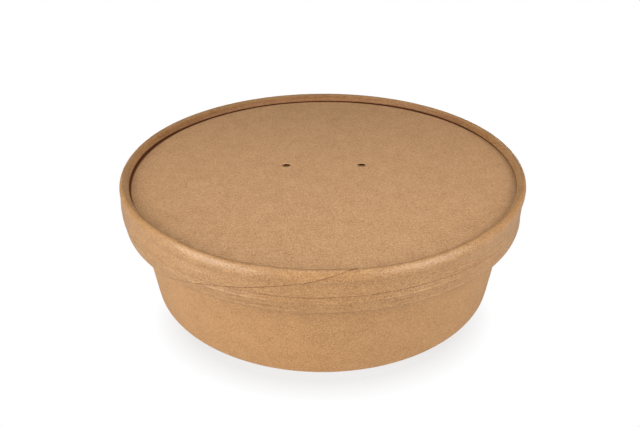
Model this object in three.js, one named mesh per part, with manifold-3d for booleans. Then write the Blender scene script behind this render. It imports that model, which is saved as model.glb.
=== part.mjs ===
// A round paper salad bowl, shut with its paper lid. Millimetres, +Z up, the origin on the floor under the
// middle of the foot, and the front of the bowl towards -Y.
//
// The bowl is a flared wall of kraft board with a base board set in above its foot. Its rim is rolled, and
// hidden by the lid. The lid is a round board with two vents, in a band that is rolled in over the board's
// edge and creased and hemmed below. The ends of the band lap over each other along an oblique seam.
// A shut bowl can't be seen into, so the bowl is solid inside.

import * as THREE from 'three';
import { mergeVertices } from 'three/addons/utils/BufferGeometryUtils.js';
import Module from 'manifold-3d';

// Driving dimensions of the whole.
const HEIGHT = 56.5; // floor to the top of the lid's rolled rim
const LID_RADIUS = 94; // outside of the rolled rim
const BAND_DEPTH = 17.8; // top of the rolled rim down to the band's lower edge
const FOOT_RADIUS = 83.5; // outside of the wall where it stands
const WALL_FLARE = 0.103; // growth of the wall's radius for each millimetre of height
const BOARD = 0.4; // one layer of board
const CLEARANCE = 0.3; // gap between neighbouring pieces
const SIDES = 120; // steps round the bowl

// The lid board and its vents.
const LID_BOARD_THICKNESS = 0.6;
const LID_BOARD_TOP = HEIGHT - 3.5;
const LID_BOARD_RADIUS = 92.6; // its edge is under the rolled rim
const VENT_RADIUS = 2;
const VENT_SPACING = 36.2;
const VENT_MIDDLE = new THREE.Vector2(0.8, 0.5); // the vents are punched a little off the middle
const VENT_SIDES = 24;

// The band, with heights counted up from its lower edge.
const BAND_LOWER_EDGE = HEIGHT - BAND_DEPTH;
const HEM_HEIGHT = 4.9; // upper edge of the hem, a soft ridge
const CREASE_HEIGHT = 7.3; // the crease round the middle
const CREASE_STEP = 0.5; // height of the crease's slanting step
const NECK_HEIGHT = 13; // the narrow place under the rolled rim
const BAND_INNER_RADIUS = LID_BOARD_RADIUS + CLEARANCE;
const RIM_WIDTH = 4.1; // outside of the rolled rim in to the open lid board
const RIM_OUTER_WIDTH = 1.6; // outside of the rolled rim in to its top
const RIM_HALF_HEIGHT = 2.4; // top of the rolled rim down to its widest place

// How the hand-sized paper band is out of true.
const BAND_LEAN = 0.55; // between the hem and the neck it sits this far towards -X
const EDGE_RISE = 0.4; // its lower edge is higher by this towards -X, and lower towards +X
const RIM_SWELL = 0.9; // the rolled rim stands higher by this at one place
const RIM_SWELL_AT = -44; // in degrees round from the front
const RIM_SWELL_SPREAD = 14;

// The oblique lap of the band, in degrees round from the front and millimetres up the band's surface.
const LAP_START = -42.5; // where the seam leaves the lower edge
const LAP_RISE = 0.375; // millimetres up the surface for each degree
const LAP_FULL_WIDTH = 4; // how far the outer layer stays at its full height
const LAP_FADE_WIDTH = 14; // where the outer layer has sunk back to the surface

// The bowl.
const BOWL_TOP = LID_BOARD_TOP - LID_BOARD_THICKNESS - CLEARANCE;
const BOWL_RIM_RADIUS = 1.6; // of the rolled rim's section
const BASE_HEIGHT = 5; // underside of the base board above the floor
const BASE_THICKNESS = 0.8;
const FOOT_WIDTH = 3 * BOARD; // the wall folded in over the edge of the base board
const WELL_RADIUS = VENT_RADIUS + 0.6; // hollow under each vent
const WELL_DEPTH = 12;

const kraft = (color, roughness) => new THREE.MeshStandardMaterial({ color, roughness, metalness: 0 });

const { clamp, degToRad, radToDeg, smoothstep } = THREE.MathUtils;
const manifold = await Module();
manifold.setup();

// A closed geometry as a solid that can be cut.
function solidOf(geometry) {
  const bare = geometry.clone();
  bare.deleteAttribute('normal');
  bare.deleteAttribute('uv');
  const merged = mergeVertices(bare, 1e-4);
  const vertProperties = merged.attributes.position.array;
  return new manifold.Manifold(new manifold.Mesh({ numProp: 3, vertProperties, triVerts: merged.index.array }));
}

// The geometry of a cut solid.
function geometryOf(solid) {
  const { vertProperties, triVerts } = solid.getMesh();
  const geometry = new THREE.BufferGeometry();
  geometry.setAttribute('position', new THREE.BufferAttribute(vertProperties, 3));
  geometry.setIndex(new THREE.BufferAttribute(triVerts, 1));
  return geometry;
}

// A profile of [radius, height] pairs, listed upwards along its outside, turned about the Z axis.
function turned(profile) {
  const points = profile.map(([radius, height]) => new THREE.Vector2(radius, height));
  return new THREE.LatheGeometry(points, SIDES).rotateX(Math.PI / 2);
}

// An upright cylinder between two heights under each vent.
function ventPlugs(radius, bottom, top) {
  return [-1, 1].map((side) => {
    const plug = new THREE.CylinderGeometry(radius, radius, top - bottom, VENT_SIDES).rotateX(Math.PI / 2);
    plug.translate(VENT_MIDDLE.x + (side * VENT_SPACING) / 2, VENT_MIDDLE.y, (top + bottom) / 2);
    return solidOf(plug);
  });
}

// The same geometry with an upright hole for each vent.
function drilled(geometry, radius, bottom, top) {
  const cut = ventPlugs(radius, bottom, top).reduce((left, plug) => left.subtract(plug), solidOf(geometry));
  return geometryOf(cut);
}

// The bowl: a flared wall with a rolled rim on top, closed below by the recess over its foot.
function bowlWall() {
  const wallRadius = (height) => FOOT_RADIUS + WALL_FLARE * height;
  const rimMiddle = BOWL_TOP - BOWL_RIM_RADIUS;
  const rim = [];
  for (let step = 0; step <= 8; step++) {
    const turn = degToRad(-90 + (180 * step) / 8);
    const radius = wallRadius(rimMiddle) + BOWL_RIM_RADIUS * (1 + Math.cos(turn));
    rim.push([radius, rimMiddle + BOWL_RIM_RADIUS * Math.sin(turn)]);
  }
  const recessTop = BASE_HEIGHT + BASE_THICKNESS + CLEARANCE;
  const shape = turned([
    [0, recessTop],
    [FOOT_RADIUS - FOOT_WIDTH, recessTop],
    [FOOT_RADIUS - FOOT_WIDTH, 0],
    [FOOT_RADIUS, 0],
    [wallRadius(rimMiddle - BOWL_RIM_RADIUS), rimMiddle - BOWL_RIM_RADIUS],
    ...rim,
    [0, BOWL_TOP],
  ]);
  return drilled(shape, WELL_RADIUS, BOWL_TOP - WELL_DEPTH, BOWL_TOP + 1);
}

// The round board glued in above the foot.
function baseBoard() {
  const radius = FOOT_RADIUS - FOOT_WIDTH - CLEARANCE;
  return turned([[0, BASE_HEIGHT], [radius, BASE_HEIGHT], [radius, BASE_HEIGHT + BASE_THICKNESS],
    [0, BASE_HEIGHT + BASE_THICKNESS]]);
}

// The round board of the lid, with its two vents.
function lidBoard() {
  const bottom = LID_BOARD_TOP - LID_BOARD_THICKNESS;
  const shape = turned([[0, bottom], [LID_BOARD_RADIUS, bottom], [LID_BOARD_RADIUS, LID_BOARD_TOP],
    [0, LID_BOARD_TOP]]);
  return drilled(shape, VENT_RADIUS, bottom - 1, LID_BOARD_TOP + 1);
}

// The band's outside as a list of points from its lower edge up over the rolled rim to the lid board.
// Each has a radius, a height, the outward direction there, and its distance up the surface.
function bandOutside() {
  const rimMiddle = HEIGHT - RIM_HALF_HEIGHT;
  const lip = LID_BOARD_TOP + CLEARANCE;
  const rimTopRadius = LID_RADIUS - RIM_OUTER_WIDTH;
  // How far each point lies inside the rim's radius, and how high it is above the lower edge.
  const skirt = [
    [0.5, 0], // lower edge
    [0.1, HEM_HEIGHT], // ridge along the top of the hem
    [0.3, CREASE_HEIGHT], // foot of the crease
    [0.05, CREASE_HEIGHT + CREASE_STEP], // head of the crease
    [0.45, NECK_HEIGHT], // neck under the rim
  ];
  const points = skirt.map(([inset, height]) => (
    { radius: LID_RADIUS - inset, height: BAND_LOWER_EDGE + height, out: [1, 0] }
  ));
  for (const turn of [-30, 0, 25, 50, 70].map(degToRad)) {
    points.push({
      radius: rimTopRadius + RIM_OUTER_WIDTH * Math.cos(turn),
      height: rimMiddle + RIM_HALF_HEIGHT * Math.sin(turn),
      out: [Math.cos(turn), Math.sin(turn)],
    });
  }
  for (const turn of [90, 115, 140, 160, 180].map(degToRad)) {
    points.push({
      radius: rimTopRadius + (RIM_WIDTH - RIM_OUTER_WIDTH) * Math.cos(turn),
      height: lip + (HEIGHT - lip) * Math.sin(turn),
      out: [Math.cos(turn), Math.sin(turn)],
    });
  }
  let along = 0;
  points.forEach((point, index) => {
    const below = points[Math.max(index - 1, 0)];
    along += Math.hypot(point.radius - below.radius, point.height - below.height);
    point.along = along;
  });
  return points;
}

// The point of the band's outside at a distance up the surface.
function pointAt(points, along) {
  const next = Math.max(points.findIndex((point) => point.along >= along), 1);
  const [a, b] = [points[next - 1], points[next]];
  const share = (along - a.along) / (b.along - a.along);
  const mix = (from, to) => from + (to - from) * share;
  return {
    radius: mix(a.radius, b.radius),
    height: mix(a.height, b.height),
    out: [mix(a.out[0], b.out[0]), mix(a.out[1], b.out[1])],
    along,
  };
}

// The faces between two neighbouring columns of points, each listed upwards. The side whose next point is
// the lower one steps up, so that points at the same distance up are joined straight across.
function zip(faces, left, right) {
  let i = 0;
  let j = 0;
  while (i < left.length - 1 || j < right.length - 1) {
    const onlyLeft = j === right.length - 1;
    if (onlyLeft || (i < left.length - 1 && left[i + 1].along <= right[j + 1].along)) {
      faces.push(left[i].id, right[j].id, left[i + 1].id);
      i++;
    } else {
      faces.push(left[i].id, right[j].id, right[j + 1].id);
      j++;
    }
  }
}

// The band: columns of points round the lid, each split where the oblique seam crosses it.
function lidBand() {
  const outside = bandOutside();
  const last = outside.at(-1);
  const inside = [
    { radius: BAND_INNER_RADIUS, height: last.height, along: last.along + 1 },
    { radius: BAND_INNER_RADIUS - BOARD / 2, height: BAND_LOWER_EDGE, along: last.along + 2 },
  ];
  const positions = [];
  const neck = BAND_LOWER_EDGE + NECK_HEIGHT;

  // Adds one point of a column, raised off the surface by a distance and moved as the band is out of true.
  function place(angle, point, raised = 0) {
    const [outR, outZ] = point.out ?? [0, 0];
    const radius = point.radius + raised * outR;
    const lean = BAND_LEAN * clamp((point.height - BAND_LOWER_EDGE) / HEM_HEIGHT, 0, 1)
      * clamp((neck - point.height) / 3, 0, 1);
    const rise = EDGE_RISE * -Math.sin(angle) * clamp((neck - point.height) / (neck - BAND_LOWER_EDGE), 0, 1);
    const away = (radToDeg(angle) - RIM_SWELL_AT) / RIM_SWELL_SPREAD;
    const swell = RIM_SWELL * Math.exp(-away * away) * clamp((point.height - neck) / (HEIGHT - neck), 0, 1);
    positions.push(radius * Math.sin(angle) - lean, -radius * Math.cos(angle),
      point.height + raised * outZ + rise + swell);
    return { id: positions.length / 3 - 1, along: point.along };
  }

  const columns = [];
  for (let side = 0; side < SIDES; side++) {
    const degrees = -180 + (360 * side) / SIDES;
    const angle = degToRad(degrees);
    const seam = LAP_RISE * (degrees - LAP_START);
    const layer = (along) => {
      const past = along - seam;
      return past < 0 ? 0 : BOARD * (1 - smoothstep(past, LAP_FULL_WIDTH, LAP_FADE_WIDTH));
    };
    const crossed = seam > 0 && seam < last.along;
    const clear = outside.filter((point) => !crossed || Math.abs(point.along - seam) > 0.1);
    const below = clear.filter((point) => point.along < seam).map((point) => place(angle, point));
    const above = clear.filter((point) => point.along >= seam)
      .map((point) => place(angle, point, layer(point.along)));
    if (crossed) {
      const onSeam = pointAt(outside, seam);
      below.push(place(angle, onSeam));
      above.unshift(place(angle, onSeam, BOARD));
    }
    columns.push({ degrees, crossed, below, above, inner: inside.map((point) => place(angle, point)) });
  }

  const faces = [];
  columns.forEach((left, index) => {
    const right = columns[(index + 1) % SIDES];
    const wholes = [left, right].map((column) => [...column.below, ...column.above]);
    if (left.crossed || right.crossed) {
      // Beyond its ends the seam is a single point: the lowest of the column before it, the highest after it.
      const parts = [left, right].map((column, which) => {
        if (column.crossed) return [column.below, column.above];
        const whole = wholes[which];
        return column.degrees < LAP_START ? [whole.slice(0, 1), whole] : [whole, whole.slice(-1)];
      });
      const [leftFoot, rightFoot] = parts.map(([below]) => below.at(-1).id);
      const [leftEdge, rightEdge] = parts.map(([, above]) => above[0].id);
      zip(faces, parts[0][0], parts[1][0]);
      if (rightFoot !== rightEdge) faces.push(leftFoot, rightFoot, rightEdge);
      if (leftFoot !== leftEdge) faces.push(leftFoot, rightEdge, leftEdge);
      zip(faces, parts[0][1], parts[1][1]);
    } else {
      zip(faces, wholes[0], wholes[1]);
    }
    zip(faces, [wholes[0].at(-1), ...left.inner], [wholes[1].at(-1), ...right.inner]);
    const [leftLow, rightLow] = [left, right].map((column) => column.inner.at(-1).id);
    faces.push(leftLow, rightLow, wholes[1][0].id, leftLow, wholes[1][0].id, wholes[0][0].id);
  });

  const geometry = new THREE.BufferGeometry();
  geometry.setAttribute('position', new THREE.Float32BufferAttribute(positions, 3));
  geometry.setIndex(faces);
  return geometry;
}

const group = new THREE.Group();
const pieces = [
  ['bowl_wall', bowlWall(), kraft('#b88a5f', 0.8)],
  ['base_board', baseBoard(), kraft('#b88a5f', 0.8)],
  ['lid_board', lidBoard(), kraft('#c4966a', 0.8)],
  ['lid_band', lidBand(), kraft('#c09468', 0.85)],
];
for (const [name, geometry, material] of pieces) {
  const mesh = new THREE.Mesh(geometry, material);
  mesh.name = name;
  group.add(mesh);
}

export default group;
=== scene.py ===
"""A paper salad bowl of kraft board, shut with its paper lid. Metres, +Z up, the front towards -Y.

The sections follow the bowl as it is put together: wall, base board, lid board, and the band that holds the
lid board. The floor, the lights and the camera come last. Angles go round from the front towards +X.
"""

import math

import bpy
import numpy as np
from mathutils import Matrix, Vector


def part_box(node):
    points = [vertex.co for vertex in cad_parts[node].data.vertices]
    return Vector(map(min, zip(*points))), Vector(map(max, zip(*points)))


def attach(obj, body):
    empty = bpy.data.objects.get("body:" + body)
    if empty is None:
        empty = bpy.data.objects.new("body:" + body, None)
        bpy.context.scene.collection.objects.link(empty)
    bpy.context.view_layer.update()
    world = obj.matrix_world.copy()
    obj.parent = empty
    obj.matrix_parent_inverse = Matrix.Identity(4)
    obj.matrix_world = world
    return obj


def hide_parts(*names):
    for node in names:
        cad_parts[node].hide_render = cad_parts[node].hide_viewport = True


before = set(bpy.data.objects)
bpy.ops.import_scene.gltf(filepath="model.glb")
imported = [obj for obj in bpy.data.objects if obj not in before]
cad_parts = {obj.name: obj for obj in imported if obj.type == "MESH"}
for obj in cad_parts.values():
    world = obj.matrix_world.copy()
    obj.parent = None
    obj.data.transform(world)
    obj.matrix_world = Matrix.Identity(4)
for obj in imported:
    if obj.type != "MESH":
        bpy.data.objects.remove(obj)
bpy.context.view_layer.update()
MM = 0.001

# --- The bowl wall ------------------------------------------------------------------------------------------
# A curved blank of kraft board, wrapped into a cone and glued along an upright lap at the back. Its top edge
# is rolled outwards, where the lid hides it, and its foot is folded in and up round the base board.

BOARD = 0.4 * MM
FOOT_RADIUS = 83.5 * MM
FOOT_WIDTH = 3 * BOARD
WALL_FLARE = 0.103  # growth of the radius for each metre of height
BOWL_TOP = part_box("bowl_wall")[1].z
RECESS_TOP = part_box("base_board")[1].z + 0.3 * MM
BOWL_RIM_RADIUS = 1.6 * MM  # of the rolled rim's section
WALL_SIDES = 360
WALL_ROWS = 24
WALL_LAP_ANGLE = 180.0  # the middle of the back
WALL_LAP_DEGREES = 11.0  # how far the outer end of the blank stays proud
WALL_WAVE = 0.12 * MM  # how far the wall is out of round
RECESS_RADIUS = 40 * MM  # of the shallow shaded space under the lid's vents
RECESS_DEPTH = 0.55 * MM


class Wire:
    """An output of a node. A sum or a product with it adds its Math node to the same tree."""

    def __init__(self, patch, socket):
        self.patch = patch
        self.socket = socket

    def __getitem__(self, output):
        return Wire(self.patch, self.socket.node.outputs[output])

    def math(self, operation, *values):
        return self.patch.node("ShaderNodeMath", {"operation": operation}, dict(enumerate(values)))

    def __add__(self, other):
        return self.math("ADD", self, other)

    def __sub__(self, other):
        return self.math("SUBTRACT", self, other)

    def __rsub__(self, other):
        return self.math("SUBTRACT", other, self)

    def __mul__(self, other):
        return self.math("MULTIPLY", self, other)

    def __truediv__(self, other):
        return self.math("DIVIDE", self, other)

    __radd__ = __add__
    __rmul__ = __mul__


class Patch:
    """Adds nodes to a tree."""

    def __init__(self, tree):
        self.tree = tree

    def node(self, kind, settings=None, sockets=None):
        """A node of that type, with its settings made before its sockets, as the wire of its first output."""
        made = self.tree.nodes.new(kind)
        for name, value in (settings or {}).items():
            setattr(made, name, value)
        for key, value in (sockets or {}).items():
            if isinstance(value, Wire):
                self.tree.links.new(value.socket, made.inputs[key])
            else:
                made.inputs[key].default_value = value
        return Wire(self, made.outputs[0]) if made.outputs else None


def arc(centre, radii, first, last, steps):
    """Points on an arc of a section, as (radius, height) pairs. Zero degrees points outwards, 90 up."""
    turns = np.radians(np.linspace(first, last, steps + 1))
    return [(centre[0] + radii[0] * math.cos(t), centre[1] + radii[1] * math.sin(t)) for t in turns]


def section_object(name, section):
    """The section as a line of edges, with its length up to each point kept as an attribute."""
    points = [(radius, 0.0, height) for radius, height in section]
    mesh = bpy.data.meshes.new(name)
    mesh.from_pydata(points, [(i, i + 1) for i in range(len(points) - 1)], [])
    steps = np.linalg.norm(np.diff(np.array(points), axis=0), axis=1)
    along = np.concatenate([[0], np.cumsum(steps)])
    mesh.attributes.new("along", "FLOAT", "POINT").data.foreach_set("value", along)
    made = bpy.data.objects.new(name, mesh)
    bpy.context.scene.collection.objects.link(made)
    return made


def input_socket(tree, name, kind, value):
    tree.interface.new_socket(name, in_out="INPUT", socket_type=kind).default_value = value


SAME_PLACE = 0.001 * MM  # points this near are made one
WAVE_SCALE = 1.3  # of the noise round the wall, and how much faster it changes up the wall
WAVE_STEEPER = 9.0


def turning_tree(finish):
    """Turns a section about the Z axis. The skin is lapped: its last column stands proud of its first."""
    tree = bpy.data.node_groups.new("turned_board", "GeometryNodeTree")
    tree.interface.new_socket("Section", in_out="INPUT", socket_type="NodeSocketGeometry")
    input_socket(tree, "Sides", "NodeSocketInt", 120)
    input_socket(tree, "Lap Angle", "NodeSocketFloat", 180.0)
    input_socket(tree, "Lap Degrees", "NodeSocketFloat", 10.0)
    input_socket(tree, "Lap Height", "NodeSocketFloat", 0.0)
    input_socket(tree, "Lap From Radius", "NodeSocketFloat", 0.0)
    input_socket(tree, "Wave Height", "NodeSocketFloat", 0.0)
    tree.interface.new_socket("Geometry", in_out="OUTPUT", socket_type="NodeSocketGeometry")
    patch = Patch(tree)
    given = patch.node("NodeGroupInput")
    section = given["Section"]
    rows = patch.node("GeometryNodeAttributeDomainSize", {"component": "MESH"}, {"Geometry": section})
    grid = patch.node("GeometryNodeMeshGrid", {}, {
        "Size X": 1.0, "Size Y": 1.0, "Vertices X": given["Sides"] + 2, "Vertices Y": rows})
    index = patch.node("GeometryNodeInputIndex")
    row = index.math("MODULO", index, rows)
    column = index.math("FLOOR", (index + 0.5) / rows)
    vector_on_points = {"data_type": "FLOAT_VECTOR", "domain": "POINT"}
    place = patch.node("GeometryNodeSampleIndex", vector_on_points, {
        "Geometry": section, "Value": patch.node("GeometryNodeInputPosition"), "Index": row})
    place = patch.node("ShaderNodeSeparateXYZ", {}, {"Vector": place})
    along = patch.node("GeometryNodeSampleIndex", {"data_type": "FLOAT", "domain": "POINT"}, {
        "Geometry": section, "Index": row,
        "Value": patch.node("GeometryNodeInputNamedAttribute", {"data_type": "FLOAT"}, {"Name": "along"})})
    share = column.math("MINIMUM", column / given["Sides"], 1.0)
    closing = column.math("GREATER_THAN", column, given["Sides"] + 0.5)
    angle = (share * 360.0 + given["Lap Angle"]) * math.radians(1)
    proud = patch.node("ShaderNodeMapRange", {"interpolation_type": "SMOOTHSTEP"}, {
        "Value": (1.0 - share) * 360.0 / given["Lap Degrees"], "From Min": 0.5, "From Max": 1.0,
        "To Min": 1.0, "To Max": 0.0})
    outside = place.math("GREATER_THAN", place["X"], given["Lap From Radius"])
    sine, cosine = angle.math("SINE", angle), angle.math("COSINE", angle)
    around = patch.node("ShaderNodeCombineXYZ", {}, {"X": sine, "Y": cosine, "Z": place["Z"] * WAVE_STEEPER})
    wave = patch.node("ShaderNodeTexNoise", {}, {"Vector": around, "Scale": WAVE_SCALE, "Detail": 1.0})
    raised = proud * outside * (1.0 - closing) * given["Lap Height"]
    radius = place["X"] + raised + (wave - 0.5) * outside * given["Wave Height"]
    moved = patch.node("ShaderNodeCombineXYZ", {}, {
        "X": radius * sine, "Y": radius * cosine * -1.0, "Z": place["Z"]})
    skin = patch.node("GeometryNodeSetPosition", {}, {"Geometry": grid, "Position": moved})
    surface = patch.node("ShaderNodeCombineXYZ", {}, {"X": share * FOOT_RADIUS * math.tau, "Y": along})
    surface = patch.node("GeometryNodeFieldOnDomain", vector_on_points, {0: surface})
    skin = patch.node("GeometryNodeStoreNamedAttribute", {"data_type": "FLOAT2", "domain": "CORNER"}, {
        "Geometry": skin, "Name": "UVMap", "Value": surface})
    skin = patch.node("GeometryNodeMergeByDistance", {}, {"Geometry": skin, "Distance": SAME_PLACE})
    skin = patch.node("GeometryNodeRealizeInstances", {}, {"Geometry": skin})
    skin = patch.node("GeometryNodeSetMaterial", {}, {"Geometry": skin, "Material": finish})
    patch.node("NodeGroupOutput", {}, {"Geometry": skin})
    return tree


def grown(source, tree, sizes):
    """Runs the tree on an object and leaves the result there as a plain mesh."""
    modifier = source.modifiers.new("growing", "NODES")
    modifier.node_group = tree
    for item in tree.interface.items_tree:
        if item.in_out == "INPUT" and item.name in sizes:
            modifier[item.identifier] = sizes[item.name]
    bpy.context.view_layer.update()
    evaluated = source.evaluated_get(bpy.context.evaluated_depsgraph_get())
    mesh = bpy.data.meshes.new_from_object(evaluated)
    source.modifiers.remove(modifier)
    source.data = mesh
    mesh.name = source.name
    return source


def hex_colour(text):
    """A colour written as it looks on a screen, as the linear colour that shaders take."""
    parts = [int(text[i:i + 2], 16) / 255 for i in (0, 2, 4)]
    return tuple(p / 12.92 if p <= 0.04045 else ((p + 0.055) / 1.055) ** 2.4 for p in parts) + (1.0,)


def fibres(patch, place, direction, length, width):
    """Streaks that lie one way in the sheet, as numbers round 0. The sheet cuts the noise aslant, so that
    nothing repeats at even steps."""
    laid = patch.node("ShaderNodeMapping", {"vector_type": "TEXTURE"}, {
        "Vector": place, "Rotation": (0.7, 0.04, math.radians(direction)), "Scale": (length, width, width)})
    return patch.node("ShaderNodeTexNoise", {}, {
        "Vector": laid, "Scale": 1.0, "Detail": 1.0, "Distortion": 0.4}) - 0.5


CLOUD_SIZE = 7 * MM
GRAIN_SIZE = 0.55 * MM
FIBRE_WIDTH = 0.3 * MM
STREAK_LENGTH = 3.0 * MM
STREAK_WIDTH = 0.22 * MM
DARK_SHARE = 0.36  # how far the colour lies from ground to dark where nothing marks the sheet
# The dark brown that the strongest painted shade turns the paper to.
PAINTED_SHADE_BROWN = hex_colour("5c2406")
SHEEN_TINT = (1.0, 0.94, 0.82, 1.0)


def painted_shade_attribute(patch):
    """The painted shade that a piece stores as an attribute, from 0, none, to 1. A piece that doesn't is 0
    all over.
    """
    stored = {"attribute_type": "GEOMETRY", "attribute_name": "painted_shade"}
    return patch.node("ShaderNodeAttribute", stored)["Fac"]


def kraft_paper(name, surface, ground, dark, grain_contrast, roughness, relief, combed=0.0,
                shade_source=painted_shade_attribute):
    """Unbleached paper: a cloudy brown ground under crossing fibres, with darker and paler flecks. Where the
    piece asks for it, painted shade darkens the colour towards a dark brown and makes the paper rougher.
    surface says how to get the place on the sheet, the last argument how much painted shade lies there, and
    combed is how much of the relief lies in fine streaks along the sheet."""
    material = bpy.data.materials.new(name)
    material.use_nodes = True
    material.node_tree.nodes.clear()
    patch = Patch(material.node_tree)
    place = surface(patch)
    aslant = patch.node("ShaderNodeVectorRotate", {"rotation_type": "EULER_XYZ"}, {
        "Vector": place, "Rotation": (0.7, 0.5, 0.3)})
    cloud = patch.node("ShaderNodeTexNoise", {}, {
        "Vector": aslant, "Scale": 1 / CLOUD_SIZE, "Detail": 2.0}) - 0.5
    grain = patch.node("ShaderNodeTexNoise", {}, {
        "Vector": aslant, "Scale": 1 / GRAIN_SIZE, "Detail": 1.0, "Roughness": 0.7}) - 0.5
    laid = (fibres(patch, place, 8, 1.8 * MM, FIBRE_WIDTH) + fibres(patch, place, 68, 1.5 * MM, FIBRE_WIDTH)
            + fibres(patch, place, -47, 1.5 * MM, FIBRE_WIDTH))
    painted_shade = shade_source(patch)
    streaks = fibres(patch, place, 0, STREAK_LENGTH, STREAK_WIDTH)
    speckled = (grain * 2.0 + laid * 0.8) * grain_contrast + streaks * combed * 0.5
    # Painted shade darkens the colour here, and in the next mix turns it towards the dark brown.
    darker = DARK_SHARE - cloud * 0.35 - speckled + painted_shade * 1.2
    colour = patch.node("ShaderNodeMix", {"data_type": "RGBA"}, {0: darker, 6: ground, 7: dark})[2]
    colour = patch.node("ShaderNodeMix", {"data_type": "RGBA"}, {
        0: painted_shade * painted_shade * 0.9, 6: colour, 7: PAINTED_SHADE_BROWN})[2]
    height = grain * 0.6 + laid * 0.4 + cloud * 0.4 + streaks * combed
    bump = patch.node("ShaderNodeBump", {}, {"Strength": 1.0, "Distance": relief, "Height": height})
    shader = patch.node("ShaderNodeBsdfPrincipled", {}, {
        "Base Color": colour, "Roughness": roughness + cloud * 0.1 + painted_shade * 0.6, "Normal": bump,
        "IOR": 1.5, "Specular Tint": SHEEN_TINT})
    patch.node("ShaderNodeOutputMaterial", {}, {"Surface": shader})
    return material


def sheet_place(patch):
    """The place on a sheet that was unrolled flat, in metres along and up it."""
    return patch.node("ShaderNodeUVMap", {"uv_map": "UVMap"})


WALL_GROUND = hex_colour("bd9162")
WALL_DARK = hex_colour("82572d")
WALL_GRAIN = 0.65  # contrast of the flecks
WALL_ROUGHNESS = 0.5
BOARD_RELIEF = 0.045 * MM  # of the fibres on either board

wall_kraft = kraft_paper(
    "bowl_board_kraft", sheet_place, WALL_GROUND, WALL_DARK, WALL_GRAIN, WALL_ROUGHNESS, BOARD_RELIEF)

wall_top_radius = FOOT_RADIUS + WALL_FLARE * (BOWL_TOP - 2 * BOWL_RIM_RADIUS)
fold = FOOT_WIDTH / 2
wall_section = [(0.0, RECESS_TOP), (FOOT_RADIUS - FOOT_WIDTH, RECESS_TOP)]
wall_section += arc((FOOT_RADIUS - fold, fold), (fold, fold), 180, 360, 10)
for share in np.linspace(0, 1, WALL_ROWS + 1)[1:]:
    height = fold + (BOWL_TOP - 2 * BOWL_RIM_RADIUS - fold) * share
    wall_section.append((FOOT_RADIUS + WALL_FLARE * height, height))
rim_radii = (2 * BOWL_RIM_RADIUS, BOWL_RIM_RADIUS)
wall_section += arc((wall_top_radius, BOWL_TOP - BOWL_RIM_RADIUS), rim_radii, -80, 90, 10)
recess_floor = BOWL_TOP - RECESS_DEPTH
wall_section += [(RECESS_RADIUS, BOWL_TOP), (RECESS_RADIUS, recess_floor), (0.0, recess_floor)]
bowl_wall = section_object("bowl_wall_paper", wall_section)
grown(bowl_wall, turning_tree(wall_kraft), {
    "Sides": WALL_SIDES, "Lap Angle": WALL_LAP_ANGLE, "Lap Degrees": WALL_LAP_DEGREES, "Lap Height": BOARD,
    "Lap From Radius": FOOT_RADIUS - 0.1 * MM, "Wave Height": WALL_WAVE})
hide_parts("bowl_wall")
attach(bowl_wall, "root")

# --- The base board -----------------------------------------------------------------------------------------
# A round of the same board, glued in above the foot. It is seen from below only, so the solid itself stays.


def board_place(patch):
    """The place on a flat board, in metres."""
    return patch.node("ShaderNodeTexCoord")["Object"]


base_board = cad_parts["base_board"]
base_board.data.materials.clear()
base_board.data.materials.append(kraft_paper(
    "base_board_kraft", board_place, WALL_GROUND, WALL_DARK, WALL_GRAIN, WALL_ROUGHNESS, BOARD_RELIEF))

# --- The lid board ------------------------------------------------------------------------------------------
# A round of kraft board with two steam vents punched beside its middle. Its edge lies under the band's rolled
# rim, and painted shade darkens the ring of it at the crevice under the rim.

LID_BOARD_LOW, LID_BOARD_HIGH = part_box("lid_board")
VENT_RADIUS = 2.0 * MM
VENT_SPACING = 36.2 * MM
VENT_MIDDLE = Vector((0.8 * MM, 0.9 * MM, 0.0))
VENT_BEVEL = 0.08 * MM
VENT_SKIN = 0.3 * MM  # thickness of the board round a vent, which is thinned from below
VENT_THINNED = 7 * MM  # radius of the thinned round
PLUG_PROUD = 1 * MM  # how far the shape that cuts a vent reaches past the board
BOARD_SIDES = 360
VENT_SIDES = 48


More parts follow.
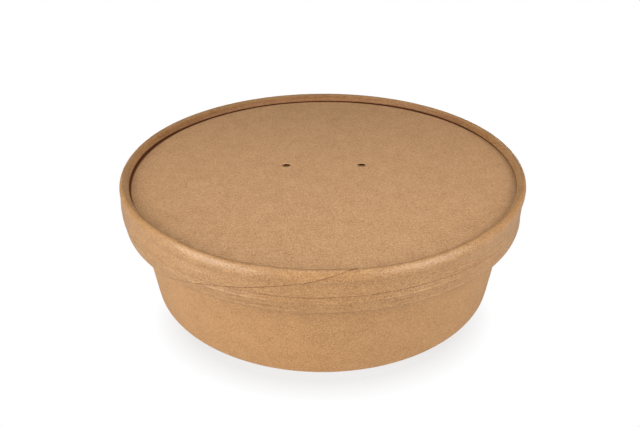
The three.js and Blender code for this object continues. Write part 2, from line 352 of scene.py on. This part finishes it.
def lid_board_tree(finish):
    """A round board with a row of vents cut through it, their upper edges pressed round."""
    tree = bpy.data.node_groups.new("vented_board", "GeometryNodeTree")
    tree.interface.new_socket("Plug Section", in_out="INPUT", socket_type="NodeSocketGeometry")
    for name in ("Radius", "Bottom", "Thickness", "Vent Spacing"):
        input_socket(tree, name, "NodeSocketFloat", 0.0)
    input_socket(tree, "Vent Middle", "NodeSocketVector", (0.0, 0.0, 0.0))
    input_socket(tree, "Vent Count", "NodeSocketInt", 2)
    tree.interface.new_socket("Geometry", in_out="OUTPUT", socket_type="NodeSocketGeometry")
    patch = Patch(tree)
    given = patch.node("NodeGroupInput")
    board = patch.node("GeometryNodeMeshCylinder", {"fill_type": "NGON"}, {
        "Vertices": BOARD_SIDES, "Side Segments": 1, "Radius": given["Radius"], "Depth": given["Thickness"]})
    lift = patch.node("ShaderNodeCombineXYZ", {}, {"Z": given["Bottom"] + given["Thickness"] / 2.0})
    board = patch.node("GeometryNodeTransform", {}, {"Geometry": board, "Translation": lift})
    step = patch.node("ShaderNodeCombineXYZ", {}, {"X": given["Vent Spacing"]})
    half = patch.node("ShaderNodeVectorMath", {"operation": "SCALE"}, {0: step, "Scale": -0.5})
    start = patch.node("ShaderNodeVectorMath", {"operation": "ADD"}, {0: given["Vent Middle"], 1: half})
    row = patch.node("GeometryNodeMeshLine", {}, {
        "Count": given["Vent Count"], "Start Location": start, "Offset": step})
    plugs = patch.node("GeometryNodeInstanceOnPoints", {}, {"Points": row, "Instance": given["Plug Section"]})
    plugs = patch.node("GeometryNodeRealizeInstances", {}, {"Geometry": plugs})
    cut = patch.node("GeometryNodeMeshBoolean", {"operation": "DIFFERENCE", "solver": "EXACT"}, {
        "Mesh 1": board, "Mesh 2": plugs})
    cut = patch.node("GeometryNodeRealizeInstances", {}, {"Geometry": cut})
    cut = patch.node("GeometryNodeSetMaterial", {}, {"Geometry": cut, "Material": finish})
    patch.node("NodeGroupOutput", {}, {"Geometry": cut})
    return tree


CREVICE_SHADE_MIDDLE = (1.05 * MM, -1.4 * MM)  # the rim reaches further in at the back left
CREVICE_SHADE_RADIUS = 89.7 * MM
CREVICE_SHADE_FADE = (-0.5 * MM, 0.3 * MM)  # from there, where the painted shade on the board begins and where it is darkest


def rim_crevice_shade(patch):
    """Painted shade on the ring of the board at the crevice under the rolled rim."""
    place = patch.node("ShaderNodeSeparateXYZ", {}, {"Vector": board_place(patch)})
    across, deep = place["X"] - CREVICE_SHADE_MIDDLE[0], place["Y"] - CREVICE_SHADE_MIDDLE[1]
    squared = across * across + deep * deep
    return patch.node("ShaderNodeMapRange", {"interpolation_type": "SMOOTHSTEP"}, {
        "Value": squared.math("SQRT", squared),
        "From Min": CREVICE_SHADE_RADIUS + CREVICE_SHADE_FADE[0], "From Max": CREVICE_SHADE_RADIUS + CREVICE_SHADE_FADE[1]})


lid_board_kraft = kraft_paper(
    "lid_board_kraft", board_place, hex_colour("cba075"), hex_colour("90643c"), grain_contrast=0.8,
    roughness=0.7, relief=BOARD_RELIEF, shade_source=rim_crevice_shade)

plug_foot, plug_head = LID_BOARD_LOW.z - PLUG_PROUD, LID_BOARD_HIGH.z + PLUG_PROUD
bevelled_radius = VENT_RADIUS + VENT_BEVEL
plug_section = [(0.0, plug_foot), (VENT_THINNED, plug_foot)]
plug_section += [(VENT_THINNED, LID_BOARD_HIGH.z - VENT_SKIN), (VENT_RADIUS, LID_BOARD_HIGH.z - VENT_SKIN)]
plug_section += arc((bevelled_radius, LID_BOARD_HIGH.z - VENT_BEVEL), (VENT_BEVEL, VENT_BEVEL), 180, 90, 4)
plug_section += [(bevelled_radius, plug_head), (0.0, plug_head)]
lid_board = section_object("lid_board_paper", plug_section)
grown(lid_board, turning_tree(lid_board_kraft), {"Sides": VENT_SIDES})
grown(lid_board, lid_board_tree(lid_board_kraft), {
    "Radius": LID_BOARD_HIGH.x, "Bottom": LID_BOARD_LOW.z, "Thickness": LID_BOARD_HIGH.z - LID_BOARD_LOW.z,
    "Vent Spacing": VENT_SPACING, "Vent Middle": VENT_MIDDLE, "Vent Count": 2})
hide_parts("lid_board")
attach(lid_board, "root")

# --- The lid band -------------------------------------------------------------------------------------------
# A strip of thinner kraft paper wound round the lid board. Its upper edge is rolled in over the board and its
# lower edge is hemmed up inside. It has a crease half way up, and its ends lap along an oblique glued seam.

RIM_TOP = LID_BOARD_HIGH.z + 3.5 * MM
RIM_RADIUS = LID_BOARD_HIGH.x + 1.3 * MM
BAND_DEPTH = 17.8 * MM
BAND_LOW = RIM_TOP - BAND_DEPTH
BAND_PAPER = 0.4 * MM
HEM_HEIGHT = 4.9 * MM  # where the hem's edge lies inside the skirt; heights are from the lower edge
CREASE_HEIGHT = 7.1 * MM
NECK_HEIGHT = 13 * MM  # where the skirt goes over into the rolled rim
RIM_OUTER = (1.8 * MM, 2.8 * MM)  # half width and half height of the rolled rim, outside its top line
RIM_INNER = (2.4 * MM, 2.75 * MM)  # and inside it
FRONT_INSET = 2.4 * MM  # of the rim's top line at the front, where the rim is rounder
FRONT_OUTER = (2.2 * MM, 3.8 * MM)
FRONT_INNER = (1.8 * MM, 2.75 * MM)
FRONT_ENDS = (50, 80)  # degrees to each side where the front's shape begins to change, and where it has
RIM_TUCK = 0.45 * MM  # how far the rolled edge turns down again towards the lid board
BAND_COLUMNS = 700
SHARP_DEGREES = 50  # a corner sharper than this isn't shaded round
SEAM_START = -42.5  # degrees where the seam leaves the lower edge
SEAM_END = 6.3  # degrees where it crosses the top of the rim
SEAM_BEND = 1.6  # degrees that it swings to each side of its straight course
SEAM_SLIT = (0.8, 0.24 * MM)  # how far, in degrees, and how high the outer end stands free of the layer below
SEAM_FULL = 18 * MM  # how far behind the seam the outer end keeps its full height
SEAM_SETTLED = 60 * MM  # and where it has sunk to the layer below
LIP_WIDENED = 0.9  # share by which the rim's inner side is wider at the back left
LIP_MIDDLE = -158  # degrees where it is widest, and the degrees from there in which it narrows again
LIP_ENDS = (15, 62)
LEAN = 0.55 * MM  # how far the skirt stands to the left of the rim
SHORT_CREASES = 46


def between(value, low, high):
    """0 below low and 1 above high, with a smooth rise between them."""
    share = np.clip((value - low) / (high - low), 0, 1)
    return share * share * (3 - 2 * share)


def hump(value, middle, spread):
    """A smooth hump of height 1."""
    return np.exp(-((value - middle) / spread) ** 2)


def uneven(x, y, seed):
    """Smooth noise from -1 to 1 over a plane, with features about one unit wide."""
    lattice = np.random.default_rng(seed).uniform(-1, 1, (512, 512))
    column, row = np.floor(x).astype(int), np.floor(y).astype(int)
    to_next, to_far = between(x - column, 0, 1), between(y - row, 0, 1)
    corners = [[lattice[(column + i) % 512, (row + j) % 512] for i in (0, 1)] for j in (0, 1)]
    near, far = [first * (1 - to_next) + second * to_next for first, second in corners]
    return near * (1 - to_far) + far * to_far


def band_outline(inset, outer, inner):
    """The outside of the strip as (radius, height over the lower edge): from inside the hem round its fold,
    up the skirt, over the rolled rim, and down to its tucked edge. inset is that of the rim's top line."""
    fold = (RIM_RADIUS - 0.5 * MM - BAND_PAPER, BAND_PAPER)
    points = arc(fold, (BAND_PAPER, BAND_PAPER), -180, -20, 8)
    # How far in the skirt lies at each of its marks. Its points stand close at the hem and the crease.
    marks = [0, HEM_HEIGHT, CREASE_HEIGHT - 0.2 * MM, CREASE_HEIGHT + 0.25 * MM,
             NECK_HEIGHT - 1.5 * MM, NECK_HEIGHT]
    insets = np.array([0.5, 0.14, 0.34, 0.08, 0.4, 0.42]) * MM
    fine = np.array([-0.4, -0.25, -0.12, 0, 0.12, 0.25, 0.4]) * MM
    heights = np.unique(np.round(np.concatenate([
        np.arange(BAND_PAPER, NECK_HEIGHT, 0.3 * MM), HEM_HEIGHT + fine, CREASE_HEIGHT + fine]), 6))
    points += [(RIM_RADIUS - np.interp(height, marks, insets), height) for height in heights]
    top_radius = RIM_RADIUS - inset
    below_rim = BAND_DEPTH - NECK_HEIGHT - 0.5 * MM - outer[1]
    first = -math.degrees(math.asin(below_rim / outer[1]))
    points += arc((top_radius, BAND_DEPTH - outer[1]), outer, first, 90, 20)
    points += arc((top_radius, BAND_DEPTH - inner[1]), inner, 90, 180, 12)[1:]
    points += arc((top_radius, BAND_DEPTH - inner[1]), (inner[0], RIM_TUCK), 180, 270, 9)[1:]
    return np.array(points)


def out_of(outline):
    """The outward direction at each point of an outline."""
    slope = np.gradient(outline, axis=0)
    out = np.stack([slope[:, 1], -slope[:, 0]], -1)
    return out / np.linalg.norm(out, axis=1, keepdims=True)


def ring_mesh(name, points, surface, painted_shade):
    """A closed ring from columns of points, each column a closed section, with its place on the sheet and its
    painted shade.
    """
    columns, rows = points.shape[:2]
    here = np.arange(columns * rows).reshape(columns, rows)
    beside = np.roll(here, -1, 0)
    faces = np.stack([here, beside, np.roll(beside, -1, 1), np.roll(here, -1, 1)], -1)
    mesh = bpy.data.meshes.new(name)
    mesh.from_pydata(points.reshape(-1, 3).tolist(), [], faces.reshape(-1, 4).tolist())
    corner = np.zeros(len(mesh.loops), int)
    mesh.loops.foreach_get("vertex_index", corner)
    mesh.uv_layers.new(name="UVMap").data.foreach_set("uv", surface.reshape(-1, 2)[corner].ravel())
    mesh.attributes.new("painted_shade", "FLOAT", "POINT").data.foreach_set("value", painted_shade.ravel())
    mesh.shade_smooth()
    mesh.set_sharp_from_angle(angle=math.radians(SHARP_DEGREES))
    return mesh


outline = band_outline(RIM_OUTER[0], RIM_OUTER, RIM_INNER)
front_outline = band_outline(FRONT_INSET, FRONT_OUTER, FRONT_INNER)
along = np.cumsum(np.linalg.norm(np.diff(outline, axis=0, prepend=outline[:1]), axis=1))
out = out_of(outline)
lowest, crown = outline[:, 1].argmin(), outline[:, 1].argmax()
climbed = np.clip((along - along[lowest]) / (along[crown] - along[lowest]), 0, 1.03)
seam = SEAM_START + (SEAM_END - SEAM_START) * climbed - SEAM_BEND * np.sin(math.tau * climbed)

# The columns go once round, from the seam's lower layer to its outer layer, and stand closer together near
# the seam. The last two are the foot of the outer layer's cut edge, and the bottom of the slit under it.
near_seam = np.array([0.12, 0.26, 0.42, 0.62, 0.9, 1.2, 1.6])
turn = np.concatenate([[0], near_seam, np.linspace(2, 358, BAND_COLUMNS), 360 - near_seam[::-1], [360, 360]])
turn = np.append(turn, 360 - SEAM_SLIT[0])[:, None]
follows_seam = 1 - between(np.minimum(turn, 360 - turn), 4, 110)
degrees = seam.mean() + turn + follows_seam * (seam - seam.mean())
behind = np.radians(360 - turn) * RIM_RADIUS
layer = BAND_PAPER * (1 - between(behind, SEAM_FULL, SEAM_SETTLED))
layer[-2:] = np.array([[SEAM_SLIT[1]], [0]])
layer[0] = 0
layer = layer * (1 - 0.5 * between(outline[:, 1], BAND_DEPTH - 1.5 * MM, BAND_DEPTH))  # rolled tight on top

angle = (degrees + 180) % 360 - 180
at_front = 1 - between(np.abs(angle), *FRONT_ENDS)
profile = outline + at_front[..., None] * (front_outline - outline)
height = profile[..., 1]
run = np.radians(degrees) * RIM_RADIUS
up = along + 0 * degrees
skirt = 1 - between(height, NECK_HEIGHT - 2 * MM, NECK_HEIGHT + 1 * MM)
rim = between(height, NECK_HEIGHT, BAND_DEPTH)

# The low relief of the skirt: the hem's edge shows through as a broken ridge, the crease is a groove with
# short ones beside it, and the hem's fold is thicker.
STREAK_DEPTH = 0.006 * MM
COCKLE_DEPTH = 0.04 * MM
RIDGE_HEIGHT = 0.18 * MM
GROOVE_DEPTH = 0.2 * MM
HEM_THICKER = 0.14 * MM
RIDGE_WIDTH = 0.35 * MM  # half of each width, as hump takes it
GROOVE_WIDTH = 0.22 * MM
SHORT_CREASE_WIDTH = 0.26 * MM
strength = 1 + 0.5 * uneven(run / (14 * MM), up / (30 * MM), 7)
streaks = uneven(run / (5 * MM), up / (0.7 * MM), 3)
cockle = uneven(run / (15 * MM), up / (5 * MM), 5)
broken = 0.8 + 0.5 * uneven(run / (3 * MM), up / (9 * MM), 9)
pressed = 0.4 + 0.7 * hump(angle, -24, 8) + 0.7 * hump(angle, 25, 10)
ridge = hump(height, HEM_HEIGHT, RIDGE_WIDTH) * strength * pressed * broken
groove = hump(height, CREASE_HEIGHT, GROOVE_WIDTH) * strength
hem = hump(height, 0.9 * MM, 0.4 * MM)
random = np.random.default_rng(11)
for _ in range(SHORT_CREASES):
    middle, length = random.uniform(-180, 180), random.uniform(3, 14)
    level, slope = random.uniform(1.5, 12) * MM, random.uniform(-0.03, 0.03)
    away = (angle - middle + 180) % 360 - 180
    line = hump(height, level + slope * np.radians(away) * RIM_RADIUS, SHORT_CREASE_WIDTH)
    groove = groove + random.uniform(0.2, 0.6) * line * hump(away, 0, length)
relief = STREAK_DEPTH * streaks + COCKLE_DEPTH * cockle + HEM_THICKER * hem
relief = skirt * (relief + RIDGE_HEIGHT * ridge - GROOVE_DEPTH * groove)
raised = layer + relief

# How the finished band is out of true: its lower part leans and hangs unevenly, and its rim swells up beside
# the thick end of the lap and at the sides. Rise, sink and swell are in millimetres, up from true.
sag, crest = hump(angle, 46, 10), hump(angle, 14, 13)  # where the lower part hangs lowest, and highest
down_the_skirt = np.clip((NECK_HEIGHT - height) / (NECK_HEIGHT - CREASE_HEIGHT), 0, 1)
down_the_hem = np.clip((CREASE_HEIGHT - height) / (CREASE_HEIGHT - HEM_HEIGHT), 0, 1)
down_the_fold = np.clip((HEM_HEIGHT - height) / HEM_HEIGHT, 0, 1)
sink = (-1.0 * sag + 0.3 * crest) * (down_the_skirt - down_the_hem)
sink = sink + (-1.7 * sag - 0.15) * (down_the_hem - down_the_fold) - (0.3 * sag + 0.3) * down_the_fold
rise = -0.4 * np.sin(np.radians(angle)) * np.clip(1 - height / NECK_HEIGHT, 0, 1)
swell = 0.88 * hump(angle, -44, 14) - 0.35 * hump(angle, 22, 18) + 0.3 * between(np.abs(angle), 75, 115)
lean = LEAN * np.clip(height / HEM_HEIGHT, 0, 1) * np.clip((NECK_HEIGHT - height) / (3 * MM), 0, 1)

# Its rolled rim lies further in over the board at the back left.
inner_side = np.where(np.arange(len(outline)) > crown, RIM_RADIUS - RIM_OUTER[0] - outline[:, 0], 0)
from_lip = np.abs((angle - LIP_MIDDLE + 180) % 360 - 180)
inwards = LIP_WIDENED * inner_side * (1 - between(from_lip, *LIP_ENDS))
radius = profile[..., 0] + raised * out[:, 0] - inwards
outside = np.stack([
    radius * np.sin(np.radians(degrees)) - lean,
    -radius * np.cos(np.radians(degrees)),
    BAND_LOW + height + raised * out[:, 1] + (sink + rise + swell * rim) * MM], -1)

# The inside of the ring, hidden but for the hem's edge: down behind the rim and the skirt to the hem.
inner_radius = RIM_RADIUS - np.array([1.1, 0.9, 0.9, 1.3]) * MM
inner_height = np.array([outline[-1, 1], HEM_HEIGHT + 0.2 * MM, HEM_HEIGHT, HEM_HEIGHT])
inner_turn = np.concatenate([turn[:-3, 0], 360 - np.array([0.06, 0.04, 0.02])])[:, None]
inner_angle = np.radians(seam.mean() + inner_turn)
inside = np.stack([inner_radius * np.sin(inner_angle), -inner_radius * np.cos(inner_angle),
                   BAND_LOW + inner_height + 0 * inner_angle], -1)
surface = np.concatenate([
    np.stack([run, up], -1),
    np.stack([inner_angle * inner_radius, along[-1] + 2 * BAND_DEPTH - inner_height + 0 * inner_angle], -1)
], 1)

# Painted shade, as darker paper: along the creases, as a painted shadow beside the seam's cut edge and in the
# slit under it, on the hem's fold, and in the crevice at the rolled rim's tucked edge, reaching up its inner
# side at the back. Each is a share from 0, none, to 1.
GROOVE_SHADE = 0.32
SEAM_SHADOW = 0.55
CUT_EDGE_SHADE = 0.75
FOLD_SHADE = 0.35
LIP_SHADE = 0.42
seam_lean = np.radians(np.gradient(seam, along)) * RIM_RADIUS  # its run for each metre of climb
from_seam = np.radians(turn) * RIM_RADIUS / np.sqrt(1 + seam_lean ** 2)
upright = 1 - between(height, BAND_DEPTH - 3.5 * MM, BAND_DEPTH - 1 * MM)  # 0 on top of the rim
# A painted shadow on the layer below, just beside the outer layer's cut edge; it is wider down the skirt,
# where the edge hides more of that layer.
at_seam = SEAM_SHADOW * (1 - between(from_seam, (0.05 + 0.3 * upright) * MM, (0.35 + 0.3 * upright) * MM))
at_seam[-2:] = CUT_EDGE_SHADE
at_seam = at_seam * (1 - 0.3 * between(height, BAND_DEPTH - 1.2 * MM, BAND_DEPTH))
# Painted shade on the underside of the hem's fold.
at_fold = FOLD_SHADE * (1 - between(height, 0.1 * MM, 0.3 * MM))
# Painted shade in the crevice at the tucked edge, reaching a little higher on the right.
at_tuck = between(up + 0.7 * MM * hump(angle, 78, 20), along[-1] - 3 * MM, along[-1] - 1 * MM)
# Painted shade on the rim's inner side at the back, where less light falls.
at_lip = LIP_SHADE * between(up, along[crown] + 0.8 * MM, along[crown] + 2.4 * MM)
at_lip = at_lip * between(np.abs(angle), 85, 130)
# Painted shade along the grooves.
at_crease = GROOVE_SHADE * skirt * groove
painted_shade_outside = np.clip(at_crease + at_seam + at_fold + np.maximum(at_tuck, at_lip), 0, 1)
painted_shade = np.concatenate([painted_shade_outside, np.zeros((len(turn), len(inner_radius)))], 1)
lid_band = bpy.data.objects.new(
    "lid_band_paper", ring_mesh("lid_band_paper", np.concatenate([outside, inside], 1), surface, painted_shade))
bpy.context.scene.collection.objects.link(lid_band)
lid_band.data.materials.append(kraft_paper(
    "lid_band_kraft", sheet_place, hex_colour("b48b5f"), hex_colour("7c532e"), grain_contrast=0.68,
    roughness=0.36, relief=0.042 * MM, combed=1.5))
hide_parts("lid_band")
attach(lid_band, "root")

# --- The floor ----------------------------------------------------------------------------------------------
# A plain pale table. To the camera it looks as white as a sweep of lit paper, but for an oval in front of the
# foot, which is a painted shadow: there the table's own lit grey, with its real shadow, is mixed into the
# white, fading out towards the oval's edge. It lights the bowl as the pale grey that it is.

TABLE_GREY = (0.46, 0.46, 0.46, 1)
TABLE_GLOW = 0.07
SHADOW_MIDDLE = -40 * MM  # the shadow is an oval round a point this far in front of the bowl's middle
SHADOW_REACH = (76 * MM, 58 * MM)  # of the oval's edge, sideways and forwards
SHADOW_FROM = 0.83  # share of that reach where the shadow begins to fade
SHADOW_TO = 1.02
SHADOW_LIFT = 0.65  # share of white in the shadow
FLOOR_REACH = 4

floor_mesh = bpy.data.meshes.new("floor")
floor_corners = [(x * FLOOR_REACH, y * FLOOR_REACH, 0) for x, y in ((-1, -1), (1, -1), (1, 1), (-1, 1))]
floor_mesh.from_pydata(floor_corners, [], [(0, 1, 2, 3)])
floor = bpy.data.objects.new("floor", floor_mesh)
bpy.context.scene.collection.objects.link(floor)
floor_white = bpy.data.materials.new("floor_white")
floor_white.use_nodes = True
floor_white.node_tree.nodes.clear()
floor_patch = Patch(floor_white.node_tree)
table = floor_patch.node("ShaderNodeBsdfPrincipled", {}, {
    "Base Color": TABLE_GREY, "Roughness": 0.6,
    "Emission Color": (1, 1, 1, 1), "Emission Strength": TABLE_GLOW})
place = floor_patch.node("ShaderNodeSeparateXYZ", {}, {"Vector": board_place(floor_patch)})
across, deep = place["X"] / SHADOW_REACH[0], (place["Y"] - SHADOW_MIDDLE) / SHADOW_REACH[1]
squared = across * across + deep * deep
# The painted shadow's fade: the share of white rises from the lift inside the oval to whole white at its
# edge.
away = floor_patch.node("ShaderNodeMapRange", {}, {
    "Value": squared.math("SQRT", squared), "From Min": SHADOW_FROM, "From Max": SHADOW_TO,
    "To Min": SHADOW_LIFT, "To Max": 1.0})
white = floor_patch.node("ShaderNodeEmission", {}, {"Color": (1, 1, 1, 1), "Strength": 1.0})
seen_by_camera = floor_patch.node("ShaderNodeLightPath")["Is Camera Ray"]
floor_patch.node("ShaderNodeOutputMaterial", {}, {
    "Surface": floor_patch.node("ShaderNodeMixShader", {}, {0: seen_by_camera * away, 1: table, 2: white})})
floor.data.materials.append(floor_white)

# --- The lights ---------------------------------------------------------------------------------------------
# Upright soft boxes stand on the table to the left and the right, and a weak one behind. Small boxes hang
# over the lid, of which the front two give the rim its bright streaks. A low one lights the wall's back.

BOX_SIZE = (0.25, 0.62)
BOX_MIDDLE = Vector((0, 0, 0.33))  # what an upright box faces, at the height of its own middle
BOX_DISTANCE = 0.75
BOX_POWERS = {-65: 2.95, -50: 2.9, -35: 1.45, 35: 1.2, 50: 3.1, 65: 1.2, 180: 0.25}  # by angle


def light_box(name, place, aim, size, power, spread=180):
    """A rectangular light. spread is the angle, in degrees, that its grid lets through."""
    data = bpy.data.lights.new(name, "AREA")
    data.shape = "RECTANGLE"
    data.size, data.size_y = size
    data.energy = power
    data.spread = math.radians(spread)
    box = bpy.data.objects.new(name, data)
    box.location = place
    box.visible_camera = False
    box.rotation_euler = (Vector(place) - Vector(aim)).to_track_quat("Z", "Y").to_euler()
    bpy.context.scene.collection.objects.link(box)


for azimuth, power in BOX_POWERS.items():
    sideways = Vector((math.sin(math.radians(azimuth)), -math.cos(math.radians(azimuth)), 0))
    light_box(f"wall_box_{azimuth % 360}", BOX_MIDDLE + sideways * BOX_DISTANCE, BOX_MIDDLE, BOX_SIZE, power)
light_box("top_box", (0, -0.05, 0.36), (0, -0.04, 0.05), (0.3, 0.16), 0.07, 70)
light_box("top_left_box", (-0.22, -0.14, 0.26), (-0.05, -0.05, 0.05), (0.15, 0.15), 0.2)
light_box("top_right_box", (0.22, -0.14, 0.26), (0.05, -0.05, 0.05), (0.15, 0.15), 0.27)
light_box("low_back_box", (0, 0.45, 0.026), (0, 0, 0.026), (0.7, 0.048), 0.8)
room = bpy.data.worlds.new("pale_room")
room.use_nodes = True
room.node_tree.nodes["Background"].inputs["Color"].default_value = (1, 1, 1, 1)
seen_by_camera = Patch(room.node_tree).node("ShaderNodeLightPath")["Is Camera Ray"]
room.node_tree.links.new(seen_by_camera.socket, room.node_tree.nodes["Background"].inputs["Strength"])
bpy.context.scene.world = room
bpy.context.scene.view_settings.view_transform = "Standard"

# --- The camera ---------------------------------------------------------------------------------------------
# In front of the bowl and above it, close enough that the back of the lid looks smaller than its front.

CAMERA_PLACE = Vector((-1.278, -272.761, 184.511)) * MM
CAMERA_PITCH = -30.0677
CAMERA_ROLL = -0.296
SENSOR_WIDTH = 36.0
LENS = 35.387

camera_data = bpy.data.cameras.new("camera")
camera_data.sensor_width = SENSOR_WIDTH
camera_data.lens = LENS
camera_data.clip_start = 0.01
camera = bpy.data.objects.new("camera", camera_data)
pitched = Matrix.Rotation(math.radians(90 + CAMERA_PITCH), 4, "X")
rolled = Matrix.Rotation(math.radians(CAMERA_ROLL), 4, "Z")
camera.matrix_world = Matrix.Translation(CAMERA_PLACE) @ pitched @ rolled
bpy.context.scene.collection.objects.link(camera)
bpy.context.scene.camera = camera
